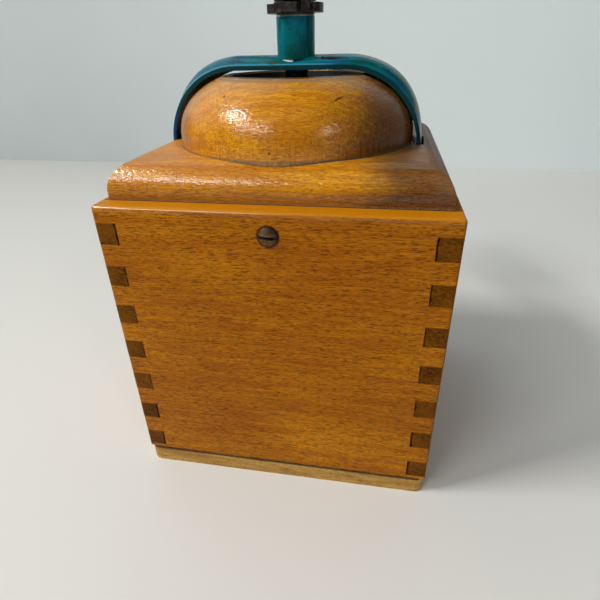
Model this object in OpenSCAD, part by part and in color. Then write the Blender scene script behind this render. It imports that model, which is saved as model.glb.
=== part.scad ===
// Hand crank coffee grinder: finger-jointed wooden case with a drawer, a turned wooden
// hopper ring, a steel yoke that carries the spindle, and a burr set hung under the lid.
// Millimetres. +Z is up, the drawer faces -Y, and the origin is on the spindle axis at
// the underside of the base plate.

/* [Case] */
// Width of the case
case_w = 120; // [110:1:130]
// Depth of the case
case_d = 116; // [108:1:124]
// Height of the four case boards
case_h = 111; // [105:1:120]
// Thickness of the case boards
board_t = 8; // [7:0.5:9]
// Thickness of the base plate
base_t = 7.5; // [6:0.5:9]
// Number of finger joints on each corner
finger_n = 7; // [6:1:8]
// Solid strip above the highest finger of a side board
finger_drop = 5.8; // [4:0.1:7]

/* [Lid] */
// Thickness of the lid
lid_t = 12; // [11:0.5:14]
// Radius of the rounding along the top edges of the lid
lid_round = 9.5; // [8:0.5:10]
// Ledge of the case left free beside the lid
ledge_side = 3; // [2:0.5:4]
// Ledge of the case left free in front of and behind the lid
ledge_end = 7.5; // [6:0.5:9]

/* [Hopper] */
// Widest radius of the turned hopper ring
dome_r = 45.4; // [44:0.2:46]
// Height of the hopper rim above the top of the lid
dome_h = 23.5; // [22:0.5:24.5]
// Radius of the hopper mouth
mouth_r = 26; // [24:0.5:28]
// Depth of the round seat that holds the ring in the lid
seat_h = 1.5; // [1:0.5:2]

/* [Yoke] */
// Width of the pressed yoke strap
strap_w = 18; // [16:0.5:20]
// Thickness of the yoke strap
strap_t = 2; // [1.6:0.2:2.4]
// Crown of the strap's section
strap_crown = 2.8; // [2:0.2:3]
// Radius of the yoke's shoulders, measured inside
shoulder_r = 27; // [25:0.5:28]
// Half length of the straight top of the yoke
yoke_flat = 19.5; // [19:0.5:21]
// Degrees the yoke is turned from square with the case
yoke_turn = -4; // [-5:1:5]
// Outer radius of the bearing tube
tube_r = 6.95; // [6.5:0.05:7.5]
// Height of the top of the bearing tube above the lid
tube_top = 42; // [40:0.5:44]

/* [Spindle and adjuster] */
// Radius of the spindle in its bush
spindle_r = 4.5; // [4:0.1:4.8]
// Radial clearance of the turning fits
fit = 0.05; // [0.03:0.01:0.1]
// Thickness of the star nut
nut_h = 2.9; // [2.5:0.1:3.5]
// Lift left free above the star nut for setting the grind
set_gap = 0.7; // [0.6:0.1:1]

/* [Crank] */
// Distance from the spindle axis to the knob axis
crank_len = 92; // [80:1:110]
// Direction of the crank at rest, from +X towards +Y
crank_dir = -57; // [-75:1:-45]
// Rise of the crank arm between the hub and the knob
crank_rise = 9; // [6:0.5:14]
// Height of the turned crank knob
knob_h = 36; // [30:1:42]

/* [Drawer] */
// Width of the drawer opening
open_w = 84; // [78:1:90]
// Height of the drawer opening
open_h = 44; // [38:1:46]
// Clearance of the drawer in its opening
drawer_gap = 0.4; // [0.3:0.1:0.8]
// Length of the drawer
drawer_len = 100; // [90:1:104]

/* [Hidden] */
$fn = 96;

wood = "peru";
end_wood = "sienna";
plate_wood = "tan";
steel = "dimgray";
enamel = "teal";
iron = "darkslategray";
brass = "goldenrod";

eps = 0.01;
in_x = case_w / 2 - board_t;
in_y = case_d / 2 - board_t;
case_top = base_t + case_h;
finger_p = case_h / finger_n;
finger_h = finger_p / 2;
lid_w = case_w - 2 * ledge_side;
lid_d = case_d - 2 * ledge_end;
lid_top = case_top + lid_t;
seat_z = lid_top - seat_h;
rim_z = lid_top + dome_h;

// Hopper ring: an elliptic shoulder over a nearly upright foot, cut off at the mouth.
swell_z = lid_top + 1.8;
swell_a = acos((mouth_r + 0.7) / dome_r);
swell_h = (rim_z - 0.2 - swell_z) / sin(swell_a);
swell_steps = 24;
lid_hole_r = 22;
sheet_t = 0.8;
liner_top_z = rim_z - 0.8;
liner_low_z = case_top;

// Yoke: two legs, two shoulders and a straight top, all with one crowned section.
yoke_in_z = rim_z + 1.4;
shoulder_z = yoke_in_z - shoulder_r;
leg_x = yoke_flat + shoulder_r;
leg_low_z = lid_top - 3;
crown_r = (pow(strap_w / 2, 2) + pow(strap_crown, 2)) / (2 * strap_crown);
stud_x = leg_x + 0.5;
stud_r = 2.5;
stud_low_z = case_top - 8;
slot_free = 0.3;

// Stack on the spindle above the yoke.
tube_z = lid_top + tube_top;
tube_low_z = yoke_in_z + strap_crown - 0.5;
bush_r = 5.5;
washer_t = 0.5;
nut_z = tube_z + washer_t;
thread_r = 4;
thread_z = nut_z + 0.3;
spring_t = 0.5;
spring_z = nut_z + nut_h + set_gap;
hub_z = spring_z + spring_t;
hub_r = 7.5;
hub_h = 3.9;
arm_t = 3.5;
arm_z = hub_z + hub_h;
rivet_r = 5.5;
square_w = 5.6;
cap_z = arm_z + arm_t;
end_stud_r = 2.5;
knob_z = arm_z + crank_rise + arm_t;
pin_r = 3;
knob_washer_t = 1;

// Burr set.
journal_r = 3.5;
spindle_low_z = 68;
cone_low_z = 77;
cone_top_z = 97;
ring_low_z = 79;
ring_top_z = 98;
ring_r = 20.4;
housing_low_z = 77.5;
housing_r = 27;
flange_r = 34;
flange_t = 4;
bridge_z = 71.5;
bridge_screw_x = 23.8;
housing_screw_r = 30.4;
hopper_screw_r = 36;
chute_z = 60;
chute_t = 4;

// Drawer.
runner_h = 6;
open_z = base_t + runner_h;
side_t = 6;
drawer_front_t = 9;
drawer_low_z = open_z + drawer_gap;
drawer_high_z = open_z + open_h - drawer_gap;
drawer_w = open_w - 2 * drawer_gap;
drawer_y = -case_d / 2;
drawer_bottom_t = 3;
drawer_wall_h = open_h - 2 * drawer_gap - 3;
drawer_knob_r = 9;

base_screw_len = 12;
case_screw_x = -0.2;
case_screw_z = case_top - 8.1;
cleat_w = 12;
cleat_h = 12;

// ---- shared shapes ----

module block(x0, x1, y0, y1, z0, z1) {
    translate([x0, y0, z0]) cube([x1 - x0, y1 - y0, z1 - z0]);
}

module rod(r, z0, z1) {
    translate([0, 0, z0]) cylinder(r = r, h = z1 - z0);
}

module ring(ro, ri, z0, z1) {
    difference() {
        rod(ro, z0, z1);
        rod(ri, z0 - 1, z1 + 1);
    }
}

// Slotted round-head wood screw along +Z, its head above z = 0.
module wood_screw(shank_r, len, head_r, head_h) {
    difference() {
        union() {
            rotate_extrude() intersection() {
                translate([0, head_h - pow(head_r, 2) / head_h / 2 - head_h / 2])
                    circle(r = (pow(head_r, 2) + pow(head_h, 2)) / (2 * head_h));
                square([head_r, head_h]);
            }
            rod(shank_r, -len * 0.7, 0);
            translate([0, 0, -len]) cylinder(r1 = 0.3, r2 = shank_r, h = len * 0.3);
        }
        translate([-head_r, -0.45, head_h * 0.45]) cube([2 * head_r, 0.9, head_h]);
    }
}

module flat_screw(shank_r, len, head_r) {
    difference() {
        union() {
            translate([0, 0, -head_r + shank_r]) cylinder(r1 = shank_r, r2 = head_r, h = head_r - shank_r);
            rod(shank_r, -len * 0.75, -head_r + shank_r);
            translate([0, 0, -len]) cylinder(r1 = 0.3, r2 = shank_r, h = len * 0.25);
        }
        translate([-head_r, -0.45, -0.9]) cube([2 * head_r, 0.9, 2]);
    }
}

// ---- case ----

function band_low(i) = case_top - finger_drop - finger_h - i * finger_p;

// The fingers of a side board at one corner.
module side_fingers() {
    for (i = [0:finger_n - 1])
        translate([0, 0, band_low(i)]) cube([board_t, board_t, finger_h]);
}

module side_board() {
    color(end_wood) difference() {
        union() {
            block(in_x, in_x + board_t, -in_y, in_y, base_t, case_top);
            translate([in_x, in_y, 0]) side_fingers();
            translate([in_x, -in_y - board_t, 0]) side_fingers();
        }
        base_screw_places() rod(1.8, base_t - 1, base_screw_len + 0.5);
    }
}

module left_board() { mirror([1, 0, 0]) side_board(); }

module right_board() { side_board(); }

// A front or back board is the full width of the case less the side boards' fingers.
module end_board() {
    difference() {
        block(-case_w / 2, case_w / 2, in_y, in_y + board_t, base_t, case_top);
        for (x = [-in_x - board_t, in_x])
            translate([x, in_y, 0])
                for (i = [0:finger_n - 1])
                    translate([-eps, -eps, band_low(i)])
                        cube([board_t + 2 * eps, board_t + 2 * eps, finger_h]);
    }
}

module case_screw_hole() {
    translate([case_screw_x, 0, case_screw_z]) rotate([-90, 0, 0]) rod(1.8, in_y - 10, case_d);
}

module back_board() {
    color(wood) difference() {
        end_board();
        case_screw_hole();
    }
}

module front_board() {
    color(wood) difference() {
        rotate([0, 0, 180]) end_board();
        block(-open_w / 2, open_w / 2, -case_d, 0, open_z, open_z + open_h);
        rotate([0, 0, 180]) case_screw_hole();
    }
}

module base_screw_places() {
    for (x = [-1, 1], y = [-1, 1])
        translate([x * (in_x + board_t / 2), y * 40, 0]) children();
}

module base_plate() {
    corner_r = 4;
    color(plate_wood) difference() {
        union() {
            block(-case_w / 2 + corner_r, case_w / 2 - corner_r, -case_d / 2, case_d / 2, 0, base_t);
            block(-case_w / 2, case_w / 2, -case_d / 2 + corner_r, case_d / 2 - corner_r, 0, base_t);
            for (x = [-1, 1], y = [-1, 1])
                translate([x * (case_w / 2 - corner_r), y * (case_d / 2 - corner_r), 0])
                    cylinder(r = corner_r, h = base_t);
        }
        base_screw_places() {
            rod(1.8, -1, base_t + 1);
            translate([0, 0, -eps]) cylinder(r1 = 3.6, r2 = 1.8, h = 1.8);
        }
    }
}

module base_screws() {
    color(steel) base_screw_places() translate([0, 0, 0.1]) mirror([0, 0, 1])
        flat_screw(1.75, base_screw_len, 3.4);
}

module case_screws() {
    color(steel) for (turn = [0, 180])
        rotate([0, 0, turn]) translate([case_screw_x, case_d / 2, case_screw_z])
            rotate([-90, 0, 0]) rotate([0, 0, -3]) wood_screw(1.75, 17, 3.5, 1.9);
}

module chute_board() {
    color(wood) difference() {
        block(-in_x, in_x, -in_y, in_y, chute_z, chute_z + chute_t);
        rod(26, chute_z - 1, chute_z + chute_t + 1);
    }
}

module drawer_runners() {
    color(wood) for (side = [-1, 1])
        translate([side * (open_w / 2 - 1), 0, base_t])
            translate([-5, -in_y, 0]) cube([10, 2 * in_y, runner_h]);
}

// ---- lid ----

// Section of the lid: square below, with a quarter round on each top edge.
module lid_section(w) {
    square_h = lid_t - lid_round;
    translate([-w / 2, 0]) square([w, square_h]);
    translate([-w / 2 + lid_round, 0]) square([w - 2 * lid_round, lid_t]);
    for (side = [-1, 1])
        intersection() {
            translate([side * (w / 2 - lid_round), square_h]) circle(r = lid_round);
            translate([-w / 2, square_h - eps]) square([w, lid_round + eps]);
        }
}

module lid_blank() {
    translate([0, 0, case_top]) intersection() {
        translate([0, lid_d / 2, 0]) rotate([90, 0, 0]) linear_extrude(lid_d) lid_section(lid_w);
        translate([-lid_w / 2, 0, 0]) rotate([90, 0, 90]) linear_extrude(lid_w) lid_section(lid_d);
    }
}

module housing_screw_places() {
    for (a = [90, 210, 330]) rotate([0, 0, a]) translate([housing_screw_r, 0, 0]) children();
}

module hopper_screw_places() {
    for (a = [60, 180, 300]) rotate([0, 0, a]) translate([0, hopper_screw_r, 0]) children();
}

module lid() {
    foot_out = strap_t + strap_crown + slot_free;
    color(wood) difference() {
        lid_blank();
        rod(lid_hole_r, case_top - 1, lid_top + 1);
        rod(dome_r + 0.1, seat_z, lid_top + 1);
        rotate([0, 0, yoke_turn]) for (side = [0, 1]) mirror([side, 0, 0]) {
            block(leg_x - slot_free, leg_x + foot_out, -strap_w / 2 - slot_free,
                strap_w / 2 + slot_free, leg_low_z - 0.1, lid_top + 1);
            translate([stud_x, 0, 0]) rod(stud_r + 0.2, case_top - 1, lid_top);
        }
        housing_screw_places() rod(1.9, case_top - 1, case_top + 8);
        hopper_screw_places() {
            rod(1.9, case_top - 1, lid_top + 1);
            translate([0, 0, case_top - eps]) cylinder(r1 = 3.6, r2 = 1.9, h = 1.7);
        }
    }
}

module lid_cleats() {
    color(wood) for (turn = [0, 180]) rotate([0, 0, turn]) difference() {
        block(-in_x + 2, in_x - 2, in_y - cleat_w, in_y, case_top - cleat_h, case_top);
        translate([case_screw_x, 0, case_screw_z]) rotate([-90, 0, 0]) rod(1.8, in_y - 10, case_d);
    }
}

// ---- hopper ----

function swell(a) = [dome_r * cos(a), swell_z + swell_h * sin(a)];

module hopper_ring() {
    color(wood) difference() {
        rotate_extrude() polygon(concat(
            [[lid_hole_r, seat_z], [dome_r - 0.3, seat_z], [dome_r - 0.1, swell_z - 1.6]],
            [for (i = [0:swell_steps]) swell(swell_a * i / swell_steps)],
            [[mouth_r + 0.4, rim_z], [mouth_r, rim_z - 0.3]]));
        hopper_screw_places() rod(1.9, seat_z - 1, seat_z + 8);
    }
}

module hopper_liner() {
    low_r = 20.4;
    top_r = mouth_r - 0.4;
    color(iron) rotate_extrude() polygon([
        [low_r - sheet_t, liner_low_z], [low_r, liner_low_z],
        [top_r, liner_top_z], [top_r - sheet_t, liner_top_z]]);
}

module hopper_screws() {
    color(steel) hopper_screw_places() translate([0, 0, case_top])
        mirror([0, 0, 1]) flat_screw(1.75, 18, 3.4);
}

// ---- burr set ----

module burr_housing() {
    color(iron) difference() {
        union() {
            rod(housing_r, housing_low_z, case_top);
            rod(flange_r, case_top - flange_t, case_top);
        }
        rod(18.5, housing_low_z - 1, ring_low_z + 1);
        rod(ring_r, ring_low_z, ring_top_z);
        rod(lid_hole_r, ring_top_z - eps, case_top + 1);
        housing_screw_places() rod(1.9, case_top - flange_t - 1, case_top + 1);
        for (side = [-1, 1]) translate([side * bridge_screw_x, 0, 0]) rod(2, housing_low_z - 1, housing_low_z + 10);
    }
}

module housing_screws() {
    color(steel) housing_screw_places() translate([0, 0, case_top - flange_t])
        mirror([0, 0, 1]) wood_screw(1.8, 11.5, 3, 1.8);
}

module cone_pin_hole() {
    translate([0, 0, cone_low_z + 3]) rotate([90, 0, 0]) rod(1.25, -20, 20);
}

module ring_burr() {
    color(steel) difference() {
        rotate_extrude() polygon([[14.6, ring_low_z], [ring_r, ring_low_z], [ring_r, ring_top_z],
            [18, ring_top_z], [13.2, ring_low_z + 5]]);
        for (a = [0:30:330]) rotate([0, 0, a]) translate([15.6, 0, ring_top_z - 7])
            rotate([0, 19, 0]) cube([2, 1.6, 13], center = true);
    }
}

module cone_burr() {
    color(steel) difference() {
        rotate_extrude() polygon([[journal_r, cone_low_z], [13.9, cone_low_z], [13.9, cone_low_z + 1.5],
            [12.6, cone_low_z + 7], [6.5, cone_top_z], [journal_r, cone_top_z]]);
        for (a = [0:45:315]) rotate([0, 0, a]) translate([9.6, 0, cone_top_z - 6.5])
            rotate([0, -25, 0]) cube([2.4, 1.6, 13], center = true);
        cone_pin_hole();
    }
}

module cone_pin() {
    color(steel) translate([0, 0, cone_low_z + 3]) rotate([90, 0, 0]) rod(1.2, -12.5, 12.5);
}

module bearing_bridge() {
    color(iron) difference() {
        union() {
            block(-27, 27, -6, 6, bridge_z, bridge_z + 4);
            for (side = [0, 1]) mirror([side, 0, 0]) block(20.6, 27, -6, 6, bridge_z, housing_low_z);
            rod(8, bridge_z - 1.5, bridge_z + 4.5);
        }
        rod(journal_r + fit, bridge_z - 5, bridge_z + 8);
        for (side = [-1, 1]) translate([side * bridge_screw_x, 0, 0]) rod(2.1, bridge_z - 1, housing_low_z + 1);
    }
}

module bridge_screws() {
    color(steel) for (side = [-1, 1]) translate([side * bridge_screw_x, 0, bridge_z]) difference() {
        union() {
            rod(1.95, 0, 15);
            rod(3.4, -2.4, 0);
        }
        translate([-4, -0.45, -3]) cube([8, 0.9, 1.4]);
    }
}

// ---- yoke ----

// Crowned section of the strap: x is outward, y runs across the strap.
module strap_section() {
    difference() {
        intersection() {
            translate([strap_crown + strap_t - crown_r - eps, 0]) circle(r = crown_r + eps);
            translate([0, -strap_w / 2]) square([strap_crown + strap_t, strap_w]);
        }
        translate([strap_crown - crown_r, 0]) circle(r = crown_r);
    }
}

module yoke_half() {
    translate([yoke_flat, 0, shoulder_z]) rotate([90, 0, 0])
        rotate_extrude(angle = 90) translate([shoulder_r, 0]) strap_section();
    translate([-eps, 0, yoke_in_z]) rotate([0, 90, 0]) linear_extrude(yoke_flat + 2 * eps)
        mirror([1, 0]) strap_section();
    translate([leg_x, 0, leg_low_z]) linear_extrude(shoulder_z - leg_low_z + eps) strap_section();
    translate([stud_x, 0, 0]) rod(stud_r, stud_low_z, leg_low_z + eps);
}

module yoke() {
    color(enamel) difference() {
        rotate([0, 0, yoke_turn]) union() {
            yoke_half();
            mirror([1, 0, 0]) yoke_half();
        }
        rod(tube_r + fit, yoke_in_z - 5, yoke_in_z + 10);
    }
}

module bearing_tube() {
    color(enamel) ring(tube_r, bush_r, tube_low_z, tube_z);
}

module tube_bush() {
    color(brass) ring(bush_r, spindle_r + fit, tube_low_z + 0.4, tube_z - 0.2);
}

module yoke_washers() {
    color(steel) rotate([0, 0, yoke_turn]) for (side = [-1, 1]) translate([side * stud_x, 0, 0])
        ring(4.6, stud_r + 0.1, case_top - 1, case_top);
}

module yoke_nuts() {
    color(steel) rotate([0, 0, yoke_turn])
        for (side = [-1, 1]) translate([side * stud_x, 0, 0]) difference() {
        translate([0, 0, case_top - 5]) cylinder(r = 4.6, h = 4, $fn = 6);
        rod(stud_r + 0.02, case_top - 9, case_top);
    }
}

// ---- spindle, adjuster and crank ----

module thrust_washer() {
    color(steel) ring(tube_r - 0.15, spindle_r + fit, tube_z, tube_z + washer_t);
}

module star_nut() {
    lug_w = 8.4;
    lug_r = 10.1;
    color(steel) difference() {
        union() {
            rod(7.3, nut_z, nut_z + nut_h);
            intersection() {
                rod(lug_r, nut_z, nut_z + nut_h);
                for (a = [0, 90]) rotate([0, 0, crank_dir + 45 + a])
                    block(-lug_r, lug_r, -lug_w / 2, lug_w / 2, nut_z, nut_z + nut_h);
            }
        }
        rod(thread_r + fit, nut_z - 1, nut_z + nut_h + 1);
        rod(spindle_r + fit, nut_z - 1, thread_z + 0.7);
    }
}

module spindle() {
    color(steel) difference() {
        union() {
            rod(journal_r, spindle_low_z, cone_top_z + eps);
            rod(spindle_r, cone_top_z, thread_z);
            rod(thread_r, thread_z - eps, hub_z);
            rotate([0, 0, crank_dir]) block(-square_w / 2, square_w / 2, -square_w / 2, square_w / 2,
                hub_z - eps, cap_z);
            rod(end_stud_r, cap_z - eps, cap_z + 6);
        }
        cone_pin_hole();
    }
}

module crank_hub() {
    color(steel) rotate([0, 0, crank_dir]) difference() {
        union() {
            rod(hub_r, hub_z, arm_z);
            rod(rivet_r, arm_z - eps, cap_z);
        }
        block(-square_w / 2 - fit, square_w / 2 + fit, -square_w / 2 - fit, square_w / 2 + fit,
            hub_z - 1, cap_z + 1);
    }
}

// Leaf latch: a washer under the hub with a tongue bent down into a notch of the star nut.
module latch_spring() {
    tongue_w = 3.2;
    tongue_r = 9.4;
    color(steel) rotate([0, 0, crank_dir + 180]) {
        ring(hub_r, thread_r + fit, spring_z, hub_z);
        block(hub_r - 0.8, tongue_r, -tongue_w / 2, tongue_w / 2, spring_z, hub_z);
        block(tongue_r - spring_t, tongue_r, -tongue_w / 2, tongue_w / 2, nut_z + 0.8, hub_z);
    }
}

// Height of the arm above its hub end: a smooth rise between rise_x0 and rise_x1.
rise_x0 = 13;
rise_x1 = 44;
function arm_lift(x) = x <= rise_x0 ? 0 : x >= rise_x1 ? crank_rise :
    crank_rise * (1 - cos(180 * (x - rise_x0) / (rise_x1 - rise_x0))) / 2;

module arm_side() {
    xs = concat([-9], [for (i = [0:12]) rise_x0 + i * (rise_x1 - rise_x0) / 12], [crank_len + 9]);
    polygon(concat([for (x = xs) [x, arm_lift(x)]],
        [for (i = [len(xs) - 1:-1:0]) [xs[i], arm_lift(xs[i]) + arm_t]]));
}

module crank_arm() {
    hub_end_r = 8.5;
    knob_end_r = 6.5;
    color(steel) rotate([0, 0, crank_dir]) translate([0, 0, arm_z]) difference() {
        intersection() {
            translate([0, 15, 0]) rotate([90, 0, 0]) linear_extrude(30) arm_side();
            linear_extrude(crank_rise + arm_t) union() {
                circle(r = hub_end_r);
                translate([crank_len, 0]) circle(r = knob_end_r);
                polygon([[0, -hub_end_r], [crank_len, -knob_end_r], [crank_len, knob_end_r], [0, hub_end_r]]);
            }
        }
        rod(rivet_r + 0.02, -1, arm_t + 1);
        translate([crank_len, 0, 0]) rod(pin_r + 0.02, -1, crank_rise + arm_t + 1);
    }
}

module cap_nut() {
    color(steel) difference() {
        union() {
            translate([0, 0, cap_z]) cylinder(r = 4.8, h = 4, $fn = 6);
            intersection() {
                translate([0, 0, cap_z + 4]) sphere(r = 4.1);
                rod(5, cap_z + 4 - eps, cap_z + 9);
            }
        }
        rod(end_stud_r + 0.02, cap_z - 1, cap_z + 6.2);
    }
}

module at_knob() {
    rotate([0, 0, crank_dir]) translate([crank_len, 0, 0]) children();
}

module knob_pin() {
    head_z = knob_z + knob_washer_t + knob_h + 0.2;
    color(steel) at_knob() {
        rod(pin_r, arm_z + crank_rise - 1, head_z);
        rod(5, arm_z + crank_rise - 1.8, arm_z + crank_rise - eps);
        rotate_extrude() intersection() {
            translate([0, head_z - 4.2]) circle(r = 6.2);
            translate([0, head_z]) square([4.6, 3]);
        }
    }
}

module knob_washer() {
    color(steel) at_knob() ring(5.5, pin_r + 0.02, knob_z, knob_z + knob_washer_t - 0.2);
}

// Turned pear-shaped knob: a narrow foot, a full belly and a rounded crown. t runs up its height.
knob_foot_r = 6.4;
knob_belly_r = 13.2;
knob_crown_r = 4.9;
belly_t = 0.64;
function knob_r(t) = t < belly_t ?
    knob_foot_r + (knob_belly_r - knob_foot_r) * (1 - cos(180 * t / belly_t)) / 2 :
    knob_crown_r + (knob_belly_r - knob_crown_r) * sqrt(max(0, 1 - pow((t - belly_t) / (1 - belly_t), 2)));

module crank_knob() {
    steps = 25;
    z0 = knob_z + knob_washer_t;
    color(wood) at_knob() rotate_extrude() polygon(concat(
        [[pin_r + 0.06, z0]],
        [for (i = [0:steps]) [knob_r(i / steps), z0 + knob_h * i / steps]],
        [[pin_r + 0.06, z0 + knob_h]]));
}

// ---- drawer ----

drawer_in = drawer_w / 2 - side_t;
drawer_y_in = drawer_y + drawer_front_t;
drawer_y_end = drawer_y + drawer_len;

module drawer_front() {
    color(wood) difference() {
        block(-drawer_w / 2, drawer_w / 2, drawer_y, drawer_y_in, drawer_low_z, drawer_high_z);
        translate([0, 0, open_z + open_h / 2]) rotate([90, 0, 0]) rod(1.8, 0, case_d);
    }
}

module drawer_side() {
    block(drawer_in, drawer_w / 2, drawer_y_in, drawer_y_end, drawer_low_z, drawer_low_z + drawer_wall_h);
}

module drawer_right() { color(wood) drawer_side(); }

module drawer_left() { color(wood) mirror([1, 0, 0]) drawer_side(); }

module drawer_back() {
    color(wood) block(-drawer_in, drawer_in, drawer_y_end - side_t, drawer_y_end,
        drawer_low_z, drawer_low_z + drawer_wall_h);
}

module drawer_bottom() {
    color(plate_wood) block(-drawer_in, drawer_in, drawer_y_in, drawer_y_end - side_t,
        drawer_low_z + 0.6, drawer_low_z + 0.6 + drawer_bottom_t);
}

module drawer_knob() {
    r = drawer_knob_r;
    color(wood) translate([0, drawer_y, open_z + open_h / 2]) rotate([90, 0, 0]) difference() {
        rotate_extrude() polygon(concat([[0, 0], [6, 0], [5.2, 1.2], [4, 4.5]],
            [for (a = [-50:10:80]) [r * cos(a), 10 + 6.2 * sin(a)]], [[0, 16.2]]));
        rod(1.8, -1, 10);
    }
}

module drawer_knob_screw() {
    color(steel) translate([0, drawer_y_in, open_z + open_h / 2]) rotate([-90, 0, 0])
        wood_screw(1.75, drawer_front_t + 9, 3.4, 1.8);
}

base_plate();
back_board();
front_board();
left_board();
right_board();
chute_board();
drawer_runners();
lid();
lid_cleats();
case_screws();
base_screws();
hopper_ring();
hopper_liner();
hopper_screws();
burr_housing();
ring_burr();
housing_screws();
bearing_bridge();
bridge_screws();
yoke();
bearing_tube();
tube_bush();
yoke_washers();
yoke_nuts();
thrust_washer();
star_nut();
spindle();
cone_burr();
cone_pin();
crank_hub();
latch_spring();
crank_arm();
cap_nut();
knob_pin();
knob_washer();
crank_knob();
drawer_front();
drawer_left();
drawer_right();
drawer_back();
drawer_bottom();
drawer_knob();
drawer_knob_screw();
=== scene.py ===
# Hand crank coffee grinder: a finger-jointed wooden box with a drawer, a turned hopper ring under
# an enamelled yoke, and a crank that turns the burrs. Metres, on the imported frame.

from math import acos, cos, pi, radians, sin, sqrt

import bmesh
import bpy
from mathutils import Matrix, Vector


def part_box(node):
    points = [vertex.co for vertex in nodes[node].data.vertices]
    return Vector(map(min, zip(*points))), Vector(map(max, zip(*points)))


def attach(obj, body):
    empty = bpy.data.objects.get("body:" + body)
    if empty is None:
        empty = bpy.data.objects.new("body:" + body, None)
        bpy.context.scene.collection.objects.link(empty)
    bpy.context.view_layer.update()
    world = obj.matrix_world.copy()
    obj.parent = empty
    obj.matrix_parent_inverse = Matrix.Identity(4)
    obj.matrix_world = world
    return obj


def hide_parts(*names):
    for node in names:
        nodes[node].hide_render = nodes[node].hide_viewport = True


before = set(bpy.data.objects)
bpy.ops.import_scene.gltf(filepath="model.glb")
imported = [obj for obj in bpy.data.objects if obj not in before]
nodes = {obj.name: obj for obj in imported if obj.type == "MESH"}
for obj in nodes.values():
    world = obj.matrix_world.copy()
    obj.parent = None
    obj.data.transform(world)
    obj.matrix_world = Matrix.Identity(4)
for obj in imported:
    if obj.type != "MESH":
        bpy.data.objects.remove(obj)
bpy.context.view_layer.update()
mm = 0.001
near = 0.01 * mm  # closer than this to a plane counts as on it
weld = 0.002 * mm  # points closer than this become one

# the case, the lid and the tube, from the frame
caseLow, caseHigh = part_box("back_board")
caseX, caseY, caseTop = caseHigh.x, caseHigh.y, caseHigh.z
boardThick = caseHigh.y - caseLow.y
lidLow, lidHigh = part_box("lid")
tubeLow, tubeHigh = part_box("bearing_tube")
screwX, screwZ = -0.2 * mm, caseTop - 8.1 * mm  # the screw through the back board
yokeTurn = radians(-3.2)  # the yoke stands a little askew
print("frame loaded")

look = {
    "place": (-0.0349, 0.1888, 0.1636),
    "heading": 190.75, "down": 29.52, "roll": -1.45,
    "lens": 27.2,
}
turn = (Matrix.Rotation(radians(look["heading"]), 4, "Z")
        @ Matrix.Rotation(radians(90 - look["down"]), 4, "X")
        @ Matrix.Rotation(radians(look["roll"]), 4, "Z"))
bpy.ops.object.camera_add(location=look["place"], rotation=turn.to_euler())
camera = bpy.context.object
camera.name = "camera"
camera.data.lens = look["lens"]
camera.data.clip_start = 10 * mm
bpy.context.scene.camera = camera
bpy.context.scene.view_settings.view_transform = "Standard"
print("camera placed")


def select(*pieces):  # only these, or nothing
    if bpy.context.object and bpy.context.object.mode != "OBJECT":
        bpy.ops.object.mode_set(mode="OBJECT")
    bpy.ops.object.select_all(action="DESELECT")
    for piece in pieces:
        piece.select_set(True)
    if pieces:
        bpy.context.view_layer.objects.active = pieces[0]


def grip(piece, kind, test=None):  # edit mode, with the verts, edges or faces that pass the test
    select(piece)
    bpy.ops.object.mode_set(mode="EDIT")
    bpy.ops.mesh.select_mode(type={"verts": "VERT", "edges": "EDGE", "faces": "FACE"}[kind])
    bpy.ops.mesh.select_all(action="SELECT" if test is None else "DESELECT")
    if test is not None:
        shape = bmesh.from_edit_mesh(piece.data)
        for part in getattr(shape, kind):
            if test(part):
                part.select_set(True)
        bmesh.update_edit_mesh(piece.data)


def letGo():
    bpy.ops.object.mode_set(mode="OBJECT")


def middle(edge):
    return (edge.verts[0].co + edge.verts[1].co) / 2


def sharp(edge, limit=35):
    return len(edge.link_faces) == 2 and edge.calc_face_angle(0) > radians(limit)


def easeEdges(piece, width, test=sharp, steps=2):
    grip(piece, "edges", test)
    bpy.ops.mesh.bevel(offset=width, offset_type="OFFSET", segments=steps, profile=0.5, clamp_overlap=True)
    letGo()


def apply(piece, kind, **settings):
    select(piece)
    bpy.ops.object.modifier_add(type=kind)
    modifier = piece.modifiers[-1]
    for key, value in settings.items():
        setattr(modifier, key, value)
    bpy.ops.object.modifier_apply(modifier=modifier.name)


def settle(piece):  # the place goes into the mesh
    select(piece)
    bpy.ops.object.transform_apply(location=True, rotation=True, scale=True)


def finished(piece, name, body, material, stands, limit=35, flat=True):
    settle(piece)
    bpy.ops.object.shade_smooth_by_angle(angle=radians(limit))
    if flat:
        apply(piece, "WEIGHTED_NORMAL", weight=60, keep_sharp=True)
    piece.name = name
    piece.data.name = name
    piece.data.materials.clear()
    piece.data.materials.append(material)
    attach(piece, body)
    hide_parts(*stands)
    return piece


def recast(node):  # a copy of a CAD node, its triangles merged into whole faces
    select(nodes[node])
    bpy.ops.object.duplicate()
    piece = bpy.context.object
    piece.parent = None
    for key in list(piece.keys()):
        del piece[key]
    grip(piece, "verts")
    bpy.ops.mesh.remove_doubles(threshold=weld)
    bpy.ops.mesh.dissolve_limited(angle_limit=radians(0.3))
    letGo()
    return piece


def drawn(points):  # a chain of points, still in edit mode and picked all over
    select()
    bpy.ops.mesh.primitive_plane_add(size=mm, location=points[0])
    piece = bpy.context.object
    settle(piece)
    grip(piece, "verts")
    bpy.ops.mesh.merge(type="CENTER")
    for a, b in zip(points, points[1:]):
        bpy.ops.mesh.extrude_region_move(TRANSFORM_OT_translate={"value": Vector(b) - Vector(a)})
    bpy.ops.mesh.select_all(action="SELECT")
    return piece


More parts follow.
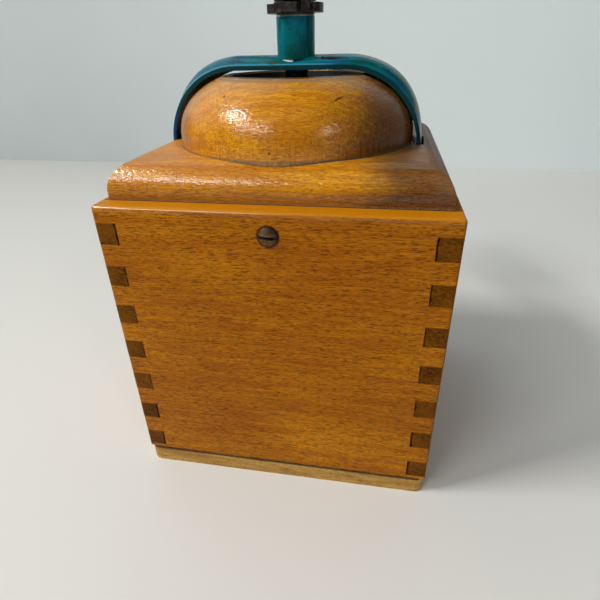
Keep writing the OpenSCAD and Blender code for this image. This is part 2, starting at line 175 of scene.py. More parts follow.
def turned(profile, place=(0, 0, 0), axis="Z", steps=96):
    # a closed profile of (radius, height), spun round the axis through place
    lift = {"Z": Vector((0, 0, 1)), "-Y": Vector((0, -1, 0))}[axis]
    points = [Vector(place) + Vector((1, 0, 0)) * r + lift * h for r, h in profile]
    piece = drawn(points + points[:1])
    bpy.ops.mesh.spin(steps=steps, angle=2 * pi, center=place, axis=lift)
    bpy.ops.mesh.select_all(action="SELECT")
    bpy.ops.mesh.remove_doubles(threshold=weld)
    bpy.ops.mesh.normals_make_consistent(inside=False)
    letGo()
    return piece


def block(low, high):
    low, high = Vector(low), Vector(high)
    select()
    bpy.ops.mesh.primitive_cube_add(size=1, location=(low + high) / 2, scale=high - low)
    piece = bpy.context.object
    settle(piece)
    return piece


def rod(radius, low, high, steps, x=0, y=0):
    select()
    bpy.ops.mesh.primitive_cylinder_add(vertices=steps, radius=radius, depth=high - low,
                                        location=(x, y, (low + high) / 2))
    piece = bpy.context.object
    settle(piece)
    return piece


def cut(piece, *cutters):
    for cutter in cutters:
        apply(piece, "BOOLEAN", operation="DIFFERENCE", object=cutter, solver="EXACT")
        bpy.data.objects.remove(cutter)


def paintFaces(piece, material, test):  # faces that pass the test get a second material
    piece.data.materials.append(material)
    number = len(piece.data.materials) - 1
    for face in piece.data.polygons:
        if test(face):
            face.material_index = number


def srgb(r, g, b):
    shares = [c / 255 for c in (r, g, b)]
    return tuple(c / 12.92 if c < 0.04045 else ((c + 0.055) / 1.055) ** 2.4 for c in shares) + (1,)


def shade(colour, share):  # the colour made darker or lighter
    return tuple(c * share for c in colour[:3]) + (1,)


def distance(a, b):
    return (a * a + b * b) ** 0.5


class Wire:  # a socket that takes Python's operators
    def __init__(self, finish, socket):
        self.finish, self.socket = finish, socket

    def __add__(self, other):
        return self.finish.sum("ADD", self, other)

    def __sub__(self, other):
        return self.finish.sum("SUBTRACT", self, other)

    def __rsub__(self, other):
        return self.finish.sum("SUBTRACT", other, self)

    def __mul__(self, other):
        return self.finish.sum("MULTIPLY", self, other)

    def __truediv__(self, other):
        return self.finish.sum("DIVIDE", self, other)

    def __rtruediv__(self, other):
        return self.finish.sum("DIVIDE", other, self)

    def __pow__(self, other):
        return self.finish.sum("POWER", self, other)

    def __gt__(self, other):
        return self.finish.sum("GREATER_THAN", self, other)

    def __abs__(self):
        return self.finish.sum("ABSOLUTE", self)

    __radd__ = __add__
    __rmul__ = __mul__


class Finish:  # one material
    def __init__(self, name, **plain):
        self.material = bpy.data.materials.new(name)
        self.material.use_nodes = True
        self.tree = self.material.node_tree
        self.shader = self.tree.nodes["Principled BSDF"]
        for key, value in plain.items():
            self.shader.inputs[key.replace("_", " ")].default_value = value

    def add(self, kind, settings=None, values=None, out=0):
        node = self.tree.nodes.new("ShaderNode" + kind)
        for key, value in (settings or {}).items():
            setattr(node, key, value)
        for key, value in (values or {}).items():
            if isinstance(value, Wire):
                self.tree.links.new(value.socket, node.inputs[key])
            else:
                node.inputs[key].default_value = value
        return Wire(self, node.outputs[out])

    def sum(self, operation, a, b=None):
        values = {0: a} if b is None else {0: a, 1: b}
        return self.add("Math", {"operation": operation}, values)

    def clamp(self, value):
        return self.add("Clamp", None, {"Value": value})

    def rise(self, value, low, high):  # 0 at low, 1 at high, eased between
        return self.add("MapRange", {"interpolation_type": "SMOOTHSTEP"},
                        {"Value": value, "From Min": low, "From Max": high})

    def place(self):
        return self.add("TexCoord", None, None, "Object")

    def apart(self, vector):
        node = self.tree.nodes.new("ShaderNodeSeparateXYZ")
        self.tree.links.new(vector.socket, node.inputs[0])
        return [Wire(self, node.outputs[i]) for i in range(3)]

    def stretch(self, vector, scale, shift=(0, 0, 0), spin=(0, 0, 0)):
        return self.add("Mapping", None, {"Vector": vector, "Scale": scale,
                                          "Location": shift, "Rotation": spin})

    def noise(self, vector, scale=1, detail=2, rough=0.5, bend=0):
        return self.add("TexNoise", None, {"Vector": vector, "Scale": scale, "Detail": detail,
                                           "Roughness": rough, "Distortion": bend})

    def mix(self, a, b, share):
        return self.add("Mix", {"data_type": "RGBA"}, {0: share, 6: a, 7: b}, 2)

    def bump(self, height, depth, strength, under=None):
        values = {"Height": height, "Distance": depth, "Strength": strength}
        if under is not None:
            values["Normal"] = under
        return self.add("Bump", None, values)

    def wear(self, colour, roughness, metallic=0, normal=None, coat=None):
        worn = {"Base Color": colour, "Roughness": roughness, "Metallic": metallic, "Normal": normal,
                "Coat Weight": coat}
        for key, value in worn.items():
            if isinstance(value, Wire):
                self.tree.links.new(value.socket, self.shader.inputs[key])
            elif value is not None:
                self.shader.inputs[key].default_value = value
        return self.material


varnish = {
    "light": srgb(206, 128, 2), "mid": srgb(172, 99, 1), "dark": srgb(122, 62, 0),
    "red": srgb(160, 80, 2), "glow": srgb(226, 146, 0), "fleck": srgb(78, 36, 0), "flecks": 0.68,
    "endLight": srgb(132, 78, 10), "endDark": srgb(72, 38, 2),
    "dust": srgb(136, 114, 82), "grimeAndShade": srgb(44, 20, 4), "roughness": 0.16,
}
golden = dict(
    varnish, light=srgb(250, 178, 4), mid=srgb(226, 144, 0), dark=srgb(160, 88, 0),
    red=srgb(184, 102, 2), glow=srgb(238, 168, 6), fleck=srgb(112, 56, 0), flecks=0.55,
    endLight=srgb(120, 74, 24), endDark=srgb(76, 42, 12))
toGrain = {"X": (0, 0, 0), "Y": (0, 0, -pi / 2), "Z": (0, pi / 2, 0)}
growth = {"rings": 460, "wander": 16 * mm}  # rings' scale, how far they wander

# patterns in the wood: scale along and across the grain, shift, detail, roughness, bend
patterns = {
    "wanderU": ((10, 38, 38), (0, 0, 0), 2, 0.5, 0),
    "wanderV": ((8, 30, 30), (3, 5, 7), 1, 0.5, 0),
    "streak": ((60, 900, 900), (0, 0, 0), 3, 0.65, 0),
    "fine": ((620, 3600, 3600), (0, 0, 0), 2, 0.65, 0),
    "pores": ((440, 3300, 3300), (0, 0, 0), 2, 0.6, 0),
    "figure": ((22, 330, 330), (4, 6, 1), 3, 0.6, 0.4),
    "rays": ((420, 900, 2400), (9, 2, 4), 1, 0.5, 0),
    "cloud": ((16, 34, 34), (1, 8, 2), 2, 0.5, 0),
    "glow": ((11, 20, 20), (6, 3, 5), 2, 0.5, 0),
    "skin": ((700, 1300, 1300), (2, 2, 2), 1.5, 0.5, 0),
}


def beech(name, grain="X", pith=(0, 0), shift=(0, 0, 0), ends=None, dust=None, tone=varnish,
          peel=1, gloss=0.5, matt=None, edge=None, marks=None):
    # solid wood: rings round a pith that runs along the grain, pores, rays and a brushed varnish
    f = Finish(name, IOR=1.5, Specular_IOR_Level=gloss)
    own = f.place()
    x, y, z = f.apart(own)
    line = f.stretch(own, (1, 1, 1), shift, toGrain[grain])
    seen = {}
    for key, (scale, move, detail, rough, bend) in patterns.items():
        seen[key] = f.noise(f.stretch(line, scale, move), 1, detail, rough, bend)
    streak, fine = seen["streak"], seen["fine"]
    u, v = f.apart(line)[1:]
    du = u - pith[0] + (seen["wanderU"] - 0.5) * growth["wander"]
    dv = v - pith[1] + (seen["wanderV"] - 0.5) * growth["wander"]
    rings = f.add("TexNoise", {"noise_dimensions": "1D"},
                  {"W": distance(du, dv) * growth["rings"], "Detail": 3, "Roughness": 0.62})
    pores = f.rise(seen["pores"], 0.52, 0.63)
    body = f.mix(tone["mid"], tone["light"], f.rise(rings * 0.5 + streak * 0.5, 0.38, 0.60))
    body = f.mix(body, tone["dark"], f.rise(rings, 0.52, 0.7) * 0.45)
    body = f.mix(body, tone["red"], f.rise(seen["cloud"], 0.46, 0.7) * 0.5)
    body = f.mix(body, tone["glow"], f.rise(seen["glow"], 0.48, 0.66) * 0.7)
    body = f.mix(body, tone["dark"], f.rise(fine, 0.42, 0.66) * 0.45)
    body = f.mix(body, tone["red"], f.rise(seen["figure"], 0.46, 0.64) * 0.5)
    body = f.mix(body, tone["fleck"], pores * tone["flecks"])
    body = f.mix(body, tone["dark"], f.rise(seen["rays"], 0.56, 0.70) * 0.35)
    if ends is not None:  # browner where the surface cuts across the grain; on the lid and the ring also painted shade on the -X side
        across = f.mix(tone["endLight"], tone["endDark"], f.rise(rings * 0.4 + fine * 0.6, 0.4, 0.62))
        body = f.mix(body, across, ends(f, own, streak))
    # dark marks, some of them painted shade: between the ring and the yoke's feet, and on the ring's rim
    if marks is not None:
        body = f.mix(body, tone["grimeAndShade"], marks(f, own) * 0.85)
    rough = f.noise(f.stretch(own, (60, 60, 60)), 1, 3) * 0.10 + (tone["roughness"] - 0.05)
    # dust; on the ring it also lays a painted highlight band under the rim
    if dust is not None:
        lying = f.clamp(dust(f, own))
        body = f.mix(body, tone["dust"], lying)
        rough = rough + lying * 0.5
    if matt is not None:  # worn duller above this height and at the -X end
        rough = rough + f.rise(z, matt - 1.2 * mm, matt - 0.2 * mm) * 0.28
        rough = rough + f.rise(x, -48 * mm, -53 * mm) * 0.34
    coat = None
    if edge is not None:  # a clear coat along the top edge, and its colour lightened there: painted light on the top, which faces the lamps
        # painted light: the top edge made lighter
        body = f.mix(body, tone["glow"], f.rise(z, edge - 1.4 * mm, edge - 0.4 * mm) * 0.55)
        coat = f.rise(z, edge - 2.2 * mm, edge - 1.2 * mm) * f.rise(z, edge - 0.1 * mm, edge - 0.4 * mm)
        f.shader.inputs["Coat Roughness"].default_value = 0.12
    normal = f.bump(seen["skin"], 0.2 * mm * peel, 0.6)
    normal = f.bump(pores + fine, -0.04 * mm, 0.4, normal)
    return f.wear(body, rough, 0, normal, coat)


def endGrain(name, shift=(0, 0, 0), tilt=0.5):
    # the sawn ends of the fingers: browner, with slanting year lines and dark gaps at the joints
    f = Finish(name, IOR=1.5, Specular_IOR_Level=0.05)
    place = f.place()
    x, y, z = f.apart(place)
    own = f.stretch(place, (1, 1, 1), shift, (0, tilt, 0))
    lines = f.noise(f.stretch(own, (700, 700, 5200)), 1, 2, 0.6, 0.4)
    spots = f.noise(f.stretch(own, (2600, 2600, 2600)), 1, 2)
    cloud = f.noise(own, 90, 1)
    body = f.mix(srgb(124, 72, 4), srgb(70, 38, 0), f.rise(lines * 0.7 + cloud * 0.3, 0.42, 0.6))
    body = f.mix(body, srgb(150, 98, 20), f.rise(spots, 0.56, 0.7) * 0.65)
    across = f.sum("MINIMUM", abs(abs(x) - caseX + boardThick), abs(abs(y) - caseY + boardThick))
    shake = (f.noise(place, 420, 2) - 0.5) * (1.6 * mm)
    low, high = f.rise(z, 40 * mm, 34 * mm), f.rise(z, 98 * mm, 101 * mm)
    gap = low * (0.6 * mm) + high * (0.3 * mm) + 0.5 * mm  # wider low down and at the top
    body = f.mix(body, srgb(10, 6, 3), f.rise((across + shake) / gap, 1, 0.5) * 0.95)
    return f.wear(body, cloud * 0.15 + 0.25, 0, f.bump(lines, 0.12 * mm, 0.5))


def rawWood(name, grain):
    f = Finish(name, IOR=1.45)
    light, dark = srgb(206, 170, 120), srgb(170, 128, 80)
    line = f.stretch(f.place(), (1, 1, 1), (0, 0, 0), toGrain[grain])
    figure = f.noise(f.stretch(line, (14, 160, 160)), 1, 3, 0.6, 0.6)
    pores = f.rise(f.noise(f.stretch(line, (260, 1700, 1700)), 1, 1.5), 0.6, 0.7)
    cloud = f.noise(f.stretch(line, (30, 60, 60), (4, 4, 4)), 1, 2)
    body = f.mix(light, dark, f.rise(figure * 0.6 + cloud * 0.4, 0.38, 0.64))
    body = f.mix(body, shade(dark, 0.45), pores * 0.35)
    return f.wear(body, cloud * 0.15 + 0.52, 0, f.bump(figure * 0.5 + pores * 0.3, 0.2 * mm, 0.4))


def baseBoard():
    # a tan, speckled board with a dark line where the case stands on it
    f = Finish("baseBoard", IOR=1.45, Specular_IOR_Level=0.3)
    own = f.place()
    x, y, z = f.apart(own)
    figure = f.noise(f.stretch(own, (30, 260, 260)), 1, 3, 0.6, 0.6)
    dashes = f.noise(f.stretch(own, (700, 2300, 2300)), 1, 2, 0.6)
    body = f.mix(srgb(204, 158, 78), srgb(172, 124, 50), f.rise(figure, 0.4, 0.62))
    body = f.mix(body, srgb(104, 70, 28), f.rise(dashes, 0.52, 0.66) * 0.6)
    body = f.mix(body, srgb(216, 180, 116), f.rise(f.noise(own, 1500, 2), 0.6, 0.72) * 0.5)
    past = f.sum("MAXIMUM", abs(x) - caseX, abs(y) - caseY)
    outline = f.rise(abs(past + (f.noise(own, 500, 2) - 0.5) * (0.6 * mm)), 0.6 * mm, 0.1 * mm)
    outline = outline * f.rise(z, caseLow.z - 1.0 * mm, caseLow.z - 0.3 * mm)
    body = f.mix(body, srgb(38, 12, 6), outline * 0.9)
    return f.wear(body, figure * 0.15 + 0.42, 0, f.bump(dashes, 0.1 * mm, 0.5))


teal = {
    "green": srgb(0, 104, 110), "blue": srgb(0, 92, 130), "dark": srgb(0, 70, 60),
    "bright": srgb(20, 128, 150), "deep": srgb(0, 52, 66), "worn": srgb(132, 146, 142),
    "arrisHighlight": srgb(84, 172, 200), "edge": srgb(4, 50, 52), "foot": srgb(0, 76, 142),
    "bare": srgb(26, 20, 16), "stain": srgb(52, 60, 14), "grimeAndShade": srgb(10, 22, 24),
    "glint": srgb(226, 232, 230), "lip": srgb(150, 146, 138), "dust": srgb(128, 120, 96),
}
chip = {"x": -13.5 * mm, "y": 6.4 * mm, "long": 6.6 * mm, "wide": 0.9 * mm, "slant": 0.1}
stain = {"x": 7.5 * mm, "y": 7.0 * mm, "long": 3.4 * mm, "wide": 1.2 * mm}


def enamel():
    # brushed-on teal enamel with blue and green streaks, worn through in one place
    f = Finish("tealEnamel", IOR=1.5, Specular_IOR_Level=0.18)
    own = f.place()
    x, y, z = f.apart(own)
    across = y * cos(yokeTurn) - x * sin(yokeTurn)  # across the strap
    away = distance(x, y)
    sweep = f.noise(f.stretch(own, (70, 520, 70)), 1, 3, 0.65, 0.5)
    strokes = f.noise(f.stretch(own, (90, 600, 90), (5, 1, 1)), 1, 2)
    cloud = f.noise(own, 75, 2)
    mottle = f.noise(own, 420, 3, 0.6)
    body = f.mix(teal["green"], teal["blue"], f.rise(cloud, 0.48, 0.64))
    body = f.mix(body, teal["dark"], f.rise(sweep, 0.46, 0.66) * 0.85)
    body = f.mix(body, teal["bright"], f.rise(strokes, 0.52, 0.68) * 0.6)
    body = f.mix(body, teal["deep"], f.rise(mottle, 0.5, 0.75) * 0.5)

    # greyer on the -X shoulder, a painted highlight along the arris on the +Y side above a side wall painted
    # dark as shade, a blue +X foot
    worn = f.rise(x, -14 * mm, -26 * mm) * f.rise(across, 5.2 * mm, 3.0 * mm) * f.rise(z, 136 * mm, 143 * mm)
    body = f.mix(body, teal["worn"], worn * f.rise(sweep, 0.34, 0.56) * 0.7)
    arrisHighlight = f.rise(across, 8.0 * mm, 8.4 * mm) * (z > lidHigh.z + 4 * mm)
    body = f.mix(body, teal["arrisHighlight"], arrisHighlight * f.rise(x, -18 * mm, -10 * mm) * 0.6)
    # painted shade: the strap's +Y side wall made dark teal
    body = f.mix(body, teal["edge"], f.rise(across, 8.55 * mm, 8.7 * mm) * 0.92)
    foot = f.rise(z + (cloud - 0.5) * (20 * mm), 145 * mm, 136 * mm) * (x > 0)
    body = f.mix(body, teal["foot"], foot * 0.55)

    # the chip and the stain on top
    top = f.rise(z, 150 * mm, 152 * mm)
    dx, dy = x - chip["x"], y - chip["y"]
    inChip = abs(dx) / chip["long"] + abs(dy + dx * chip["slant"]) / chip["wide"]
    bare = f.rise(inChip + (f.noise(own, 900, 3) - 0.5) * 2.4, 1.15, 0.95) * top
    bare = bare * f.rise(z, tubeLow.z + 3.0 * mm, tubeLow.z + 2.4 * mm)
    inStain = abs(x - stain["x"]) / stain["long"] + abs(y - stain["y"]) / stain["wide"]
    body = f.mix(body, teal["stain"], f.rise(inStain, 1.3, 0.6) * top * 0.75)
    body = f.mix(body, teal["bare"], bare)

    # a dark ring, painted shade in the crease and grime, and a painted glint where the tube stands on the
    # strap, and its scraped lip
    # painted shade and grime: a dark ring in the crease at the tube's foot
    ledge = f.rise(away, 7.9 * mm, 7.2 * mm) * f.rise(z, tubeLow.z + 1.3 * mm, tubeLow.z + 0.7 * mm)
    body = f.mix(body, teal["grimeAndShade"], ledge * 0.8)
    # painted highlight: a broken glint round the tube's foot
    glint = f.rise(abs(away - 7.1 * mm), 0.3 * mm, 0.1 * mm)
    glint = glint * f.rise(z, tubeLow.z + 0.9 * mm, tubeLow.z + 0.6 * mm)
    glint = glint * f.rise(abs(x - 2.3 * mm), 2.7 * mm, 1.6 * mm) * f.rise(f.noise(own, 1100, 1), 0.34, 0.46)
    body = f.mix(body, teal["glint"], glint * (y > 0))
    lip = f.rise(z + (cloud - 0.5) * (1.2 * mm), tubeHigh.z - 0.7 * mm, tubeHigh.z - 0.3 * mm)
    body = f.mix(body, teal["lip"], lip)

    # dust round the feet
    feet = f.rise(z + (f.noise(own, 500, 2) - 0.5) * (4 * mm), lidHigh.z + 1.6 * mm, lidHigh.z + 0.2 * mm)
    body = f.mix(body, teal["dust"], feet * f.rise(f.noise(own, 900, 2), 0.4, 0.6) * 0.75)
    rough = sweep * 0.2 + 0.16 + bare * 0.4 + feet * 0.3
    normal = f.bump(f.noise(f.stretch(own, (260, 700, 260)), 1, 2), 0.3 * mm, 0.5)
    return f.wear(body, rough, 0, f.bump(bare, -0.1 * mm, 0.8, normal))


def steel(name, dark, light, rust=0.25, roughness=0.42, metallic=0.9):
    f = Finish(name)
    own = f.place()
    cloud = f.noise(own, 260, 4, 0.65)
    grit = f.noise(own, 1900, 3, 0.7)
    spots = f.rise(f.noise(own, 620, 3, 0.6), 0.56, 0.68)
    body = f.mix(dark, light, f.rise(cloud * 0.6 + grit * 0.4, 0.42, 0.62))
    body = f.mix(body, srgb(74, 44, 26), spots * rust)
    rough = grit * 0.3 + (roughness - 0.15) + spots * 0.2
    shine = (1 - spots * (2.4 * rust)) * metallic
    return f.wear(body, rough, shine, f.bump(grit * 0.6 + cloud * 0.4, 0.12 * mm, 0.5))


def screwHead():  # a dark, worn round head, darker towards its top and with a dark ring at its edge; its slot painted near-black as shade in the recess, and grime
    f = Finish("screwHead")
    own = f.place()
    x, y, z = f.apart(own)
    above = z - screwZ
    grit = f.noise(own, 1600, 3, 0.7)
    ridges = f.noise(f.stretch(own, (500, 500, 2600)), 1, 2, 0.6, 1.5)
    wave = (f.noise(f.stretch(own, (420, 420, 420)), 1, 1) - 0.5) * (1.2 * mm)
    body = f.mix(srgb(74, 50, 26), srgb(132, 96, 52), f.rise(grit * 0.5 + ridges * 0.5, 0.44, 0.6))
    body = f.mix(body, srgb(40, 26, 14), f.rise(above, 0, 2.6 * mm) * 0.6)
    # painted shade and grime: the slot made near-black
    body = f.mix(body, srgb(14, 8, 4), f.rise(abs(above + wave), 0.7 * mm, 0.3 * mm) * 0.95)
    body = f.mix(body, srgb(22, 12, 6), f.rise(distance(x, above), 3.0 * mm, 3.4 * mm) * 0.8)
    return f.wear(body, grit * 0.3 + 0.35, 0.55, f.bump(ridges + grit * 0.4, 0.25 * mm, 0.8))


def casting():
    f = Finish("castIron")
    own = f.place()
    grain = f.noise(own, 900, 4, 0.7)
    body = f.mix(srgb(46, 44, 42), srgb(86, 80, 74), f.rise(grain, 0.4, 0.7))
    body = f.mix(body, srgb(96, 62, 36), f.rise(f.noise(own, 180, 3), 0.58, 0.7) * 0.35)
    return f.wear(body, grain * 0.3 + 0.45, 0.6, f.bump(grain, 0.4 * mm, 0.7))


def brassTurned():
    f = Finish("turnedBrass")
    own = f.place()
    cloud = f.noise(own, 300, 3)
    rings = f.noise(f.stretch(own, (200, 200, 3000)), 1, 2)
    body = f.mix(srgb(188, 150, 74), srgb(128, 96, 42), f.rise(cloud, 0.4, 0.65))
    return f.wear(body, cloud * 0.2 + 0.25, 1, f.bump(rings, 0.05 * mm, 0.5))


# the hopper ring: a full-shouldered oval from its widest circle up to the mouth
ring = {"shift": 0.35 * mm, "power": 2.4, "widest": 45.4 * mm, "swellZ": lidHigh.z + 1.8 * mm,
        "mouth": 26 * mm, "rim": lidHigh.z + 23.5 * mm, "steps": 36}


# dust, end grain, marks and painted shade: each gives the share of its colour
def boxDust(f, own):  # on the rim of the case, along the lid's foot
    x, y, z = f.apart(own)
    speck = f.noise(own, 1400, 3, 0.7)
    ledgeY = f.rise(abs(y), lidHigh.y + 1.1 * mm, lidHigh.y + 0.2 * mm)
    ledgeX = f.rise(abs(x), lidHigh.x + 0.9 * mm, lidHigh.x + 0.2 * mm)
    return ledgeY * ledgeX * (z > caseTop - 0.4 * mm) * f.rise(speck, 0.35, 0.55) * 0.9


def lidDust(f, own):  # at the lid's foot, round the ring, and greyish streaks at the -X end
    x, y, z = f.apart(own)
    speck = f.noise(own, 1400, 3, 0.7)
    low = f.rise(z, lidLow.z + 0.9 * mm, lidLow.z + 0.2 * mm)
    seam = f.rise(distance(x, y), 46.6 * mm, 45.9 * mm) * (z > lidHigh.z - 0.6 * mm)
    streaks = f.noise(f.stretch(own, (90, 700, 700), (0, 0, 3), (0, 0, 0.7)), 1, 3)
    greyStreaks = f.rise(abs(x + 49.5 * mm) / (6.5 * mm) + abs(y - 35 * mm) / (15 * mm), 1.2, 0.3)
    greyStreaks = greyStreaks * f.rise(streaks, 0.42, 0.6) * (z > lidHigh.z - 4 * mm)
    return (low + seam) * f.rise(speck, 0.36, 0.56) * 0.9 + greyStreaks * 0.55


def domeDustAndSheen(f, own):  # dust at the ring's foot and round its rim, and under the rim a lighter band of dust and painted highlight
    x, y, z = f.apart(own)
    rim = ring["rim"]
    speck = f.noise(own, 1300, 3, 0.7)
    foot = f.rise(z, lidHigh.z + 0.8 * mm, lidHigh.z + 0.1 * mm) * f.rise(speck, 0.34, 0.56)
    lip = f.rise(z, rim - 1.9 * mm, rim - 1.1 * mm) * f.rise(z, rim - 0.4 * mm, rim - 0.8 * mm)
    # dust and painted highlight: a lighter band under the rim
    band = f.rise(z, rim - 4.2 * mm, rim - 2.8 * mm) * f.rise(z, rim - 1.6 * mm, rim - 2.6 * mm)
    return foot + lip * f.rise(speck, 0.3, 0.5) * 0.85 + band * 0.22


def lidEndsAndShadow(f, own, streak):  # the roundings at the lid's two ends up to their mitres, its foot, and the -X end painted brown as the ring's shadow
    x, y, z = f.apart(own)
    fromX, fromY = lidHigh.x - abs(x), lidHigh.y - abs(y)
    rounding = f.rise(fromX, 8.5 * mm, 5 * mm) * f.rise(fromY - fromX, -0.3 * mm, 0.3 * mm)
    sway = (streak - 0.5) * (16 * mm) + (f.noise(own, 60, 2) - 0.5) * (20 * mm)
    # painted shadow: the -X end darkened where the ring would shade it
    domeShadow = f.rise(x + sway, -22 * mm, -42 * mm)
    foot = f.rise(z, lidLow.z + 6.5 * mm, lidLow.z + 1.5 * mm) * 0.45
    return f.clamp(rounding * 0.7 + domeShadow * 0.9 + foot)


def domeEndsAndShade(f, own, streak):  # painted shade on the brown -X side, reddish +X side and cross streaks low on the shoulder
    x, y, z = f.apart(own)
    sway = (streak - 0.5) * (16 * mm) + (f.noise(own, 70, 2) - 0.5) * (14 * mm)
    upright = f.rise(f.noise(f.stretch(own, (1700, 1700, 60)), 1, 1), 0.48, 0.66)
    upright = upright * f.rise(z, lidHigh.z + 15 * mm, lidHigh.z + 4 * mm)
    # painted shade: the -X side, turned away from the lamps, made brown
    brown, red = f.rise(x + sway, -13 * mm, -34 * mm), f.rise(x + sway, 26 * mm, 46 * mm)
    return f.clamp(brown * 0.9 + red * 0.5 + upright * 0.28)


def lidShadeMarks(f, own):  # painted shade and grime between the ring and the yoke's feet
    x, y, z = f.apart(own)
    between = f.rise(distance(x, y), 44.9 * mm, 45.3 * mm) * f.rise(abs(x - 1.2 * mm), 48.9 * mm, 48.1 * mm)
    return between * f.rise(abs(y - x * sin(yokeTurn)), 10.4 * mm, 9.2 * mm) * (z > lidHigh.z - 0.8 * mm)


def screwRim(f, own):  # darker round the screw head
    x, y, z = f.apart(own)
    away = distance(x - screwX, z - screwZ) + (f.noise(own, 700, 2) - 0.5) * (0.6 * mm)
    return f.rise(away, 4.2 * mm, 3.5 * mm) * (y > 50 * mm)


scratch = {"x": -19.25 * mm, "z": 148 * mm, "along": (-0.931, 0.364), "long": 2.1 * mm, "wide": 0.32 * mm}
specks = ((18.6 * mm, 148.8 * mm, 0.3 * mm), (1.1 * mm, 133.4 * mm, 0.4 * mm))  # x, z and dark core


def domeMarksAndShade(f, own):  # one scratch, two specks and the rim's top edge painted dark as shade under the yoke
    x, y, z = f.apart(own)
    dx, dz = x - scratch["x"], z - scratch["z"]
    run, climb = scratch["along"]
    inScratch = abs(dx * run + dz * climb) / scratch["long"] + abs(dx * climb - dz * run) / scratch["wide"]
    marks = f.rise(inScratch, 1.2, 0.7)
    for speckX, speckZ, core in specks:
        marks = marks + f.rise(abs(x - speckX) + abs(z - speckZ), 0.7 * mm, core)
    # painted shade: the top of the rim, under the yoke
    edge = f.rise(z, ring["rim"] - 0.7 * mm, ring["rim"] - 0.4 * mm)
    return f.clamp(marks * (y > 20 * mm) + edge)


wood = {
    "back": beech("beechBack", pith=(-0.02, -0.11), dust=boxDust, marks=screwRim,
                  gloss=0.12, matt=caseTop, edge=caseTop),
    "front": beech("beechFront", pith=(0.05, -0.12), shift=(0.3, 0, 0.02), dust=boxDust,
                   gloss=0.2, matt=caseTop),
    "sides": beech("beechSides", "Y", pith=(0, -0.12), shift=(0, 0.2, 0), dust=boxDust,
                   gloss=0.12, matt=caseTop),
    "lid": beech("beechLid", pith=(0.02, -0.05), shift=(0.1, 0, 0), tone=golden,
                 ends=lidEndsAndShadow, dust=lidDust, marks=lidShadeMarks, gloss=0.7, matt=lidHigh.z),
    "dome": beech("beechDome", pith=(-0.01, -0.06), shift=(0.4, 0, 0), tone=golden,
                  ends=domeEndsAndShade, dust=domeDustAndSheen, marks=domeMarksAndShade, peel=1.2, gloss=0.53),
    "drawer": beech("beechDrawer", pith=(0.05, -0.12), shift=(0.3, 0, 0.02)),
    "drawerKnob": beech("beechDrawerKnob", "Y", pith=(0.01, -0.03), shift=(0.6, 0, 0)),
    "crankKnob": beech("beechCrankKnob", "Z", pith=(0.02, 0.03), shift=(0.5, 0, 0)),
    "ends": endGrain("endGrain"),
    "endsSide": endGrain("endGrainSide", (0.3, 0, 0.1), 0),
    "rawX": rawWood("plainBeechX", "X"),
    "rawY": rawWood("plainBeechY", "Y"),
    "board": baseBoard(),
}
metal = {
    "enamel": enamel(),
    "underside": steel("yokeUndersideShade", srgb(12, 22, 24), srgb(20, 40, 44), 0.3, 0.5, 0.1),
    "dark": steel("darkSteel", srgb(48, 44, 42), srgb(92, 86, 82)),
    "screw": steel("screwSteel", srgb(58, 44, 34), srgb(124, 104, 84), 0.5, 0.4, 0.7),
    "head": screwHead(),
    "spindle": steel("spindleSteel", srgb(92, 88, 84), srgb(150, 146, 140), 0.12, 0.34),
    "burr": steel("burrSteel", srgb(84, 80, 76), srgb(130, 126, 120), 0.2, 0.38),
    "iron": casting(),
    "sheet": steel("blackSheet", srgb(7, 6, 6), srgb(14, 13, 12), 0.1, 0.7, 0.1),
    "brass": brassTurned(),
}
print("finishes made")

case = {"corner": 1.3 * mm, "joint": 0.13 * mm}
boards = {
    # node: name, wood, wood of the finger ends, the axis that they face
    "back_board": ("caseBack", "back", "endsSide", 0),
    "front_board": ("caseFront", "front", "endsSide", 0),
    "left_board": ("caseLeft", "sides", "ends", 1),
    "right_board": ("caseRight", "sides", "ends", 1),
}


def caseEdge(edge):  # an edge along an upright corner or the top rim of the box
    ends = [vert.co for vert in edge.verts]
    onX = all(abs(abs(p.x) - caseX) < near for p in ends)
    onY = all(abs(abs(p.y) - caseY) < near for p in ends)
    onTop = all(abs(p.z - caseTop) < near for p in ends)
    return (onX and onY) or (onTop and (onX or onY))


for node, (name, key, endKey, axis) in boards.items():
    board = recast(node)
    easeEdges(board, case["corner"], caseEdge, 4)
    easeEdges(board, case["joint"], lambda e: sharp(e, 50), 1)
    finished(board, name, "case", wood[key], (node,))
    inside = caseHigh[axis] - boardThick + 1 * mm  # the fingers' ends lie further out than this
    paintFaces(board, wood[endKey], lambda p: abs(p.normal[axis]) > 0.72 and abs(p.center[axis]) > inside)
print("case boards made")

plate = {"top": 0.7 * mm, "foot": 0.4 * mm}
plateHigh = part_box("base_plate")[1]


def plateEdge(edge, height, inX, inY):  # a sharp edge at this height, less than this far in from the sides
    p = middle(edge)
    outer = abs(p.x) > plateHigh.x - inX or abs(p.y) > plateHigh.y - inY
    return sharp(edge, 40) and abs(p.z - height) < near and outer


basePlate = recast("base_plate")
easeEdges(basePlate, plate["top"], lambda e: plateEdge(e, plateHigh.z, 4.5 * mm, 2.5 * mm), 3)
easeEdges(basePlate, plate["foot"], lambda e: plateEdge(e, 0, 0.5 * mm, 1.0 * mm), 2)
finished(basePlate, "basePlate", "case", wood["board"], ("base_plate",))

for node, name, material in (("base_screws", "baseScrews", metal["screw"]),
                             ("case_screws", "caseScrews", metal["head"])):
    screws = recast(node)
    easeEdges(screws, 0.15 * mm, lambda e: sharp(e, 50), 2)
    finished(screws, name, "case", material, (node,), 40)
print("base plate and screws made")

